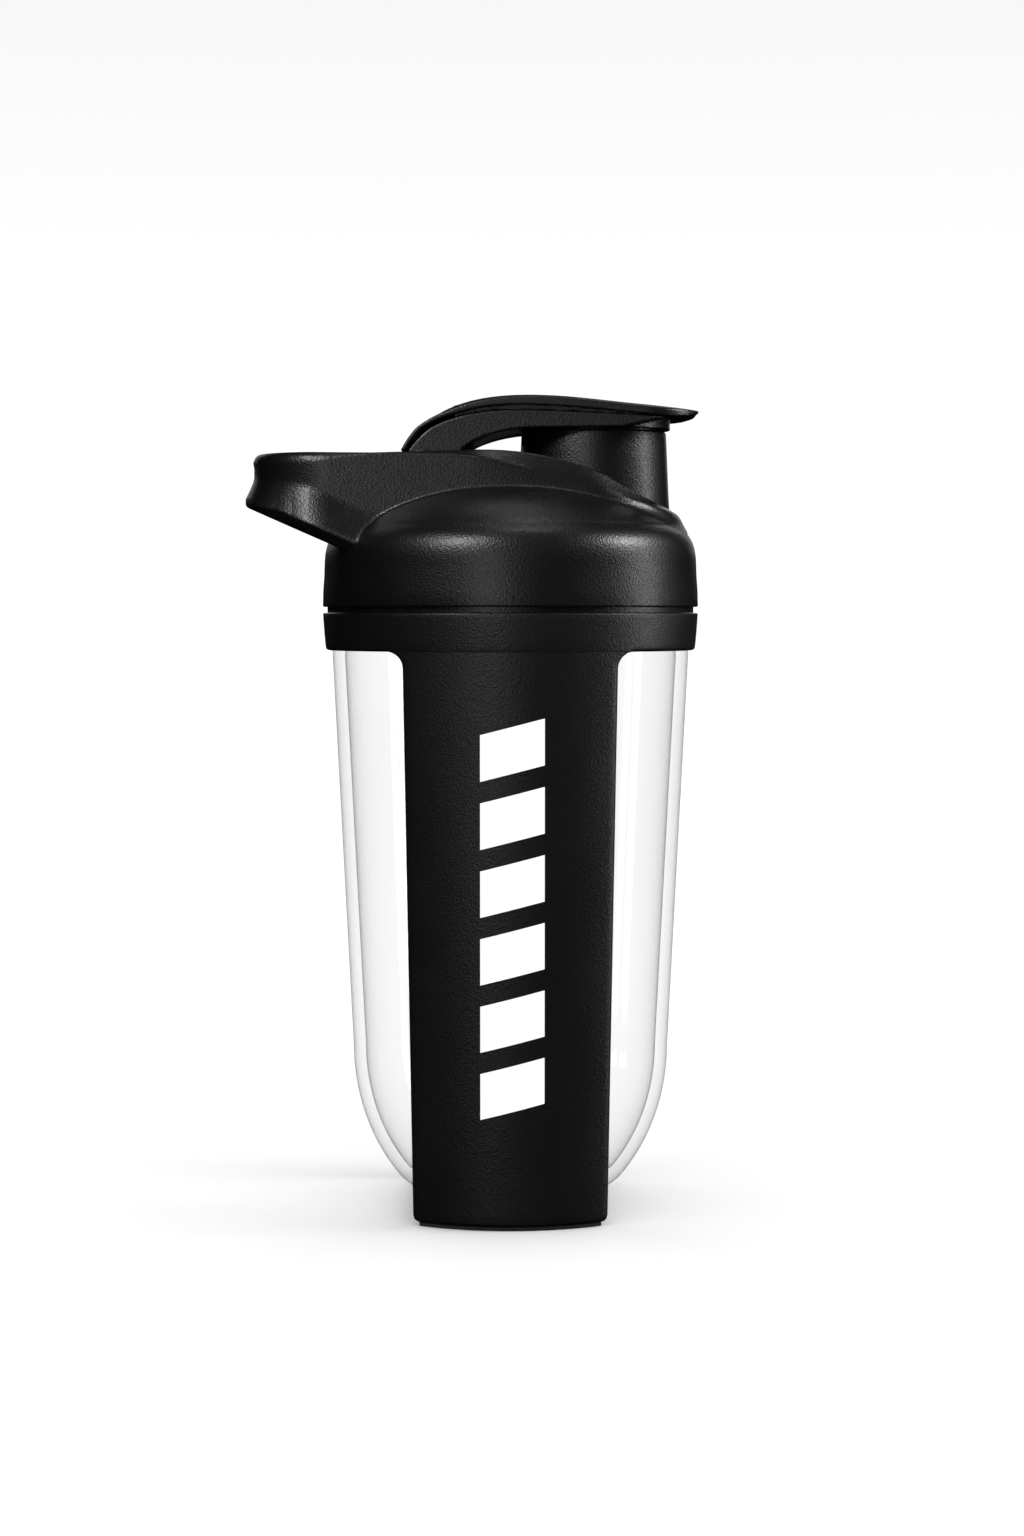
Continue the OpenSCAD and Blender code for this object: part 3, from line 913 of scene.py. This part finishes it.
CROWN_RIDGE = ([(-80, LOOP_TOP_Z), (-52, LOOP_TOP_Z), (-34, LOOP_TOP_Z - 0.3)]
               + bezier([(-18, 190.1), (-10, 190.1), (-4, 188.7), (3, 187.0)])
               + bezier([(3, 187.0), (14, 184.2), (26, 180.2), (CROWN_RIGHT_X, 175.6)])[1:]
               + [(60, 170)])
DECK_RIDGE = ([(-80, LOOP_TOP_Z), (-52, LOOP_TOP_Z), (-34, LOOP_TOP_Z - 0.1)]
              + bezier([(-12, 191.0), (8, 192), (19, 187.4), (41, 177.6)])
              + [(60, 170)])
LID_SIDE = ([(0, 140), (LID_WALL_R, 140), (LID_WALL_R, LID_WALL_Z)] + shoulder_and_dome()[::2]
            + [(0, DOME_TOP_Z)])


def lid_field(x, y, z):
    """The lid, filled, without its spout."""
    return outline_field(np.hypot(x, y), z, LID_SIDE)


def flare_out(x, y, z):
    """How far the wall flares outwards, below a crease that runs round the loop's end."""
    drop = np.interp(x, *zip(*CREASE)) - z
    tilt = np.interp(x, *zip(*FLARE_TILT))
    flare = tilt * ((drop + np.sqrt(drop ** 2 + 1.0)) / 2 - 0.2)
    widest = FLARE + FLARE_MORE * fade(np.abs(y), 12, 20)
    flare = np.clip(flare, 0, widest) * fade(x, -20, -35)
    return flare + END_LIP * fade(z, 187, 188.4) * fade(x, -62, -65)


def crown_top(x, z, depth):
    """Height above the crown's top, at a depth inside its plan.

    The top climbs steeply from a narrow ledge at the outer ridge to the deck inside it.
    """
    ramp = RAMP_W + RAMP_MORE * fade(x, 16, 28)
    share = np.clip((depth - LEDGE_W) / ramp, 0, 1)
    ridge, deck = under_curve(x, z, CROWN_RIDGE), under_curve(x, z, DECK_RIDGE)
    return (ridge * (1 - share) + deck * share) * TOP_SCALE


def crown_field(x, y, z):
    """The crown and the loop, before they are set on the dome."""
    left = round_box(x, y, LOOP_END_X, 90, CROWN_HALF_W, LOOP_CORNER_R)
    right = round_box(x, y, -150, CROWN_RIGHT_X, CROWN_HALF_W, CROWN_HALF_W - 0.05)
    plan = np.maximum(left, right)
    wall = plan - flare_out(x, y, z) + LEAN * fade(x, -10, 20) ** 2 * (z - LEAN_Z)
    edge = 0.6 + 1.2 * fade(x, -36, -47) + 0.6 * fade(x, 34, 42)
    shape = both(wall, crown_top(x, z, -plan), edge)

    # the underside, sloping up to the loop's end
    (left_x, left_z), (right_x, right_z) = UNDER_LEFT, UNDER_RIGHT
    slope = math.atan2(left_z - right_z, right_x - left_x)
    under = ((right_z - z) + (right_x - x) * math.tan(slope)) * math.cos(slope)
    shape = both(shape, under, 0.5)
    bevel = np.interp(x, [-66, -58], [0.4, UNDER_BEVEL])
    return both(shape, (wall + under + bevel) * math.sqrt(0.5), 0.3)


def loop_field(x, y, z):
    """The crown and the loop as one piece on the dome, with their openings."""
    crown, lid = crown_field(x, y, z), lid_field(x, y, z)
    # a fillet where the crown meets the dome; the rest of the dome is left to the lid
    fillet = 0.55 + 1.6 * fade(x, 22, 40) ** 2
    shape = both(either(crown, lid, fillet) + 0.03, crown - fillet - 0.05)
    shape = both(shape, -(lid + 1.0))
    finger = round_box(x, y, LOOP_LEFT_X + LOOP_BAR_T, FINGER_RIGHT_X, FINGER_HALF_W, FINGER_CORNER_R)
    shape = both(shape, -finger, 1.4)
    pocket = both(round_box(x, y, *POCKET_X, POCKET_HALF_W, 1.0), POCKET_FLOOR_Z - z, 0.5)
    shape = both(shape, -pocket, 0.4)
    spout = np.hypot(x - SPOUT_X, y) - (SPOUT_R + 0.3)
    shape = both(shape, -spout, 0.3)
    pin = both(np.hypot(x - PIN_X, z - PIN_Z) - PIN_R, np.abs(y) - PIN_HIGH[1] - 0.2)
    return both(shape, -pin)


def build_loop(step):
    """The carry loop with the crown, skinned from its field."""
    points, faces = skin(loop_field, (LOOP_LEFT_X - 1, -CROWN_HALF_W - 4, 165),
                         (CROWN_RIGHT_X + 2, CROWN_HALF_W + 4, LOOP_TOP_Z + 2), step)
    make_piece("carry_handle", points, faces, LID_BLACK, "lid", "lid_plastic", ["carry_loop"], 60)


# ---- flip cap ----

CAP_TOP = (bezier([(-27.2, 190.9), (-22.7, 200), (-13.5, 205.6), (4, 205.6)])
           + bezier([(4, 205.6), (14, 205.6), (20, 204.6), (30, 203.6)])[1:]
           + bezier([(30, 203.6), (37, 202.9), (43, 202.3), (TAB_X - 0.3, 201.5)])[1:])
COVER_LOW = (bezier([(-26.1, 190.9), (-21.4, 199.3), (-12, 203.5), (2, 203.5)])
             + bezier([(2, 203.5), (14, 203.5), (28, 201.9), (40, 200.2)])[1:])
ARM_HIGH = (bezier([(-25.3, 190.9), (-20.3, 198.0), (-12, 202.2), (0, 202.2)])
            + bezier([(0, 202.2), (12, 202.2), (28, 201.1), (39, 200.0)])[1:])
ARM_LOW = bezier([(-12.6, 190.2), (-11.2, 193.0), (-4, 195.9), (4, 196.5)], 10)
ARM_SIDE = (ARM_LOW[::-1] + [(PIN_X + BARREL_R, PIN_Z), (PIN_X - BARREL_R, PIN_Z)]
            + ARM_HIGH + [(28, 196.9)])
COVER_SIDE = CAP_TOP + [(TAB_X, 201.1), (TAB_X - 0.7, 200.6), (44, 200.25)] + COVER_LOW[::-1]
# what fills the gap between the arm and its cover, away from their sides
CORE_SIDE = [p for p in ARM_HIGH if -14 < p[0] < 36] + [(36, 202.3), (4, 204.4), (-14, 202.9)]


def crowned(y, z):
    """Height in the side outlines of a point; towards its sides the cap is lower than in the middle."""
    return z + CAP_ARCH * (y / CAP_HALF_W) ** 2 * fade(z, 196.5, 200.5)


def arm_field(x, y, z):
    """The cap's arm with its barrel round the pin and its skirt round the spout."""
    arm = both(outline_field(x, crowned(y, z), ARM_SIDE), np.abs(y) - CAP_HALF_W, 0.45)
    barrel = both(np.hypot(x - PIN_X, z - PIN_Z) - BARREL_R, np.abs(y) - CAP_HALF_W, 0.4)
    reach = np.hypot(x - SPOUT_X, y)
    skirt = both(reach - SKIRT_R, np.maximum(SKIRT_LOW_Z - z, z - CAP_RECESS_Z - 0.9), 0.35)
    shape = either(either(arm, barrel, 0.8), skirt, 0.3)
    recess = np.maximum(reach - SKIRT_BORE_R, z - CAP_RECESS_Z)
    shape = both(shape, -recess, 0.25)
    return both(shape, PIN_R + PIN_FIT - np.hypot(x - PIN_X, z - PIN_Z))


def cover_field(x, y, z):
    """The cover plate over the arm, ending in the thumb tab."""
    plan = round_box(x, y, -60, TAB_X, CAP_HALF_W, TAB_CORNER_R)
    side_z = crowned(y, z)
    plate = both(outline_field(x, side_z, COVER_SIDE), plan, 0.45)
    core = np.maximum(outline_field(x, side_z, CORE_SIDE), np.abs(y) - CORE_HALF_W)
    return either(plate, core, 0.2)


def build_cap(step):
    """The flip cap's arm and cover, skinned from their fields."""
    arm_low = (PIN_X - BARREL_R - 3, -CAP_HALF_W - 1, PIN_Z - BARREL_R - 1)
    arm_high = (42, CAP_HALF_W + 1, 204)
    points, faces = skin(arm_field, arm_low, arm_high, step)
    make_piece("cap_arm", points, faces, LID_BLACK, "cap", "cap_plastic", ["flip_cap"], 60)
    cover_low = (-28.5, -CAP_HALF_W - 1, 189)
    cover_high = (TAB_X + 1, CAP_HALF_W + 1, 207)
    points, faces = skin(cover_field, cover_low, cover_high, step)
    make_piece("cap_plate", points, faces, LID_BLACK, "cap", "cap_plastic", ["cap_cover"], 60)


def build_plug():
    """The soft plug: a thick flange with a rounded sealing nose."""
    low_z, top_z = PLUG_LOW[2], PLUG_HIGH[2]
    seal_z = SPOUT_TOP_Z + 0.1
    outline = rounded([(0, low_z + 0.5), (11.6, low_z + 0.5, 0.4), (12.4, low_z, 0.4),
                       (13.4, low_z, 0.5), (PLUG_NOSE_R, 197.6, 0.6), (PLUG_NOSE_R, seal_z, 0.1),
                       (PLUG_FLANGE_R, seal_z, 0.2), (PLUG_FLANGE_R, top_z, 0.1), (0, top_z)])
    make_piece("soft_plug", *lathe(outline, SPOUT_X, 128), SILICONE, "cap", "silicone",
               ["spout_plug"])


# ---- stage, camera and light, in metres ----

AMBIENT = 1.08
BACKDROP_LOW = 1.10
BACKDROP_HIGH = 0.93
BACKDROP_FADE = 0.19

CAMERA_PLACE = (0.0004, -0.814, 0.1515)
CAMERA_DOWN_DEG = 2.83

FLOOR_HALF = 4.0
FLOOR_CELLS = 8

LAMP_AIM = (0, 0, 0.15)
# lamps that show only in reflections: name, place, size, power
LAMPS = [
    ("front_fill", (-0.22, -0.97, 0.18), (0.2, 0.45), 1.0),
    ("left_top", (-0.46, -0.65, 0.76), (0.22, 0.22), 6.0),
    ("right_top", (0.84, -0.08, 0.66), (0.22, 0.22), 6.5),
    ("right_strip", (0.99, -0.03, 0.16), (0.1, 0.6), 2.6),
    ("overhead", (0.1, -0.08, 1.16), (0.3, 0.2), 0.9),
    ("back_top", (0.0, 0.42, 1.07), (0.25, 0.25), 0.3),
    ("back_left", (-0.4, 0.92, 0.5), (0.3, 0.5), 0.5),
    ("back_right", (0.26, 0.97, 0.45), (0.3, 0.5), 0.6),
]
SUN_FROM = (1.0, -0.12, 0.42)


def build_camera():
    """A long lens, level with the lid and tipped slightly down."""
    camera = bpy.data.objects.new("camera", bpy.data.cameras.new("camera"))
    bpy.context.scene.collection.objects.link(camera)
    camera.data.sensor_width = 36
    camera.data.lens = 75
    camera.data.clip_end = 20
    camera.location = CAMERA_PLACE
    camera.rotation_euler = (math.radians(90 - CAMERA_DOWN_DEG), 0, 0)
    bpy.context.scene.camera = camera


def area_light(name, place, size, power):
    """A rectangular lamp, aimed at the bottle, that only reflections show."""
    light = bpy.data.lights.new(name, "AREA")
    light.shape = "RECTANGLE"
    light.size, light.size_y = size
    light.energy = power
    lamp = bpy.data.objects.new(name, light)
    bpy.context.scene.collection.objects.link(lamp)
    lamp.location = place
    lamp.rotation_euler = (Vector(LAMP_AIM) - Vector(place)).to_track_quat("-Z", "Y").to_euler()
    lamp.visible_camera = False
    lamp.visible_transmission = False
    lamp.visible_diffuse = False


def build_world():
    """White all round, but left out of reflections, which show the lamps alone."""
    world = bpy.data.worlds.new("studio")
    bpy.context.scene.world = world
    world.use_nodes = True
    nodes, links = world.node_tree.nodes, world.node_tree.links
    bright = nodes["Background"]
    bright.inputs["Color"].default_value = (1, 1, 1, 1)
    # painted shade: the backdrop the camera sees is a little greyer high up
    place = nodes.new("ShaderNodeTexCoord")
    split = nodes.new("ShaderNodeSeparateXYZ")
    links.new(place.outputs["Generated"], split.inputs["Vector"])
    backdrop = nodes.new("ShaderNodeMapRange")
    backdrop.inputs["From Max"].default_value = BACKDROP_FADE
    backdrop.inputs["To Min"].default_value = BACKDROP_LOW
    backdrop.inputs["To Max"].default_value = BACKDROP_HIGH
    links.new(split.outputs["Z"], backdrop.inputs["Value"])
    # the camera sees the backdrop, everything else an even white
    path = nodes.new("ShaderNodeLightPath")
    level = nodes.new("ShaderNodeMapRange")
    level.inputs["To Min"].default_value = AMBIENT
    links.new(backdrop.outputs["Result"], level.inputs["To Max"])
    links.new(path.outputs["Is Camera Ray"], level.inputs["Value"])
    links.new(level.outputs["Result"], bright.inputs["Strength"])
    world.cycles_visibility.glossy = False


def build_floor():
    """The white floor, left out of reflections."""
    mesh = bpy.data.meshes.new("floor")
    places = np.linspace(-FLOOR_HALF, FLOOR_HALF, FLOOR_CELLS + 1)
    verts = [(x, y, 0) for y in places for x in places]
    mesh.from_pydata(verts, [], grid_faces(len(places), len(places)))
    material, nodes, _ = new_material("floor_white")
    shader = nodes["Principled BSDF"]
    shader.inputs["Base Color"].default_value = (0.95, 0.95, 0.95, 1)
    shader.inputs["Roughness"].default_value = 0.8
    shader.inputs["Specular IOR Level"].default_value = 0.1
    mesh.materials.append(material)
    floor = bpy.data.objects.new("floor", mesh)
    bpy.context.scene.collection.objects.link(floor)
    floor.visible_glossy = False


def build_lights():
    """The lamps, and one soft sun that casts the shadow."""
    for lamp in LAMPS:
        area_light(*lamp)
    sun = bpy.data.objects.new("sun", bpy.data.lights.new("sun", "SUN"))
    bpy.context.scene.collection.objects.link(sun)
    sun.data.energy = 1.1
    sun.data.angle = math.radians(30)
    sun.rotation_euler = Vector(SUN_FROM).to_track_quat("Z", "Y").to_euler()
    sun.visible_glossy = False


# ---- the whole scene ----

def dress_cad_nodes():
    """New materials for the CAD nodes that have no mesh of their own here."""
    for node, material in (("lid_gasket", SILICONE), ("strainer", GRID_BLACK), ("hinge_pin", STEEL)):
        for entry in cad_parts[node].material_slots:
            entry.link = "OBJECT"
            entry.material = material


def main():
    """Builds the bottle's pieces, then the stage round them."""
    step = 0.4
    build_camera()
    build_cup()
    build_sleeve()
    build_sole()
    build_print()
    build_lid()
    build_spout()
    build_loop(step)
    build_cap(0.75 * step)
    build_plug()
    dress_cad_nodes()
    build_floor()
    build_world()
    build_lights()
    bpy.context.scene.view_settings.view_transform = "Standard"


main()
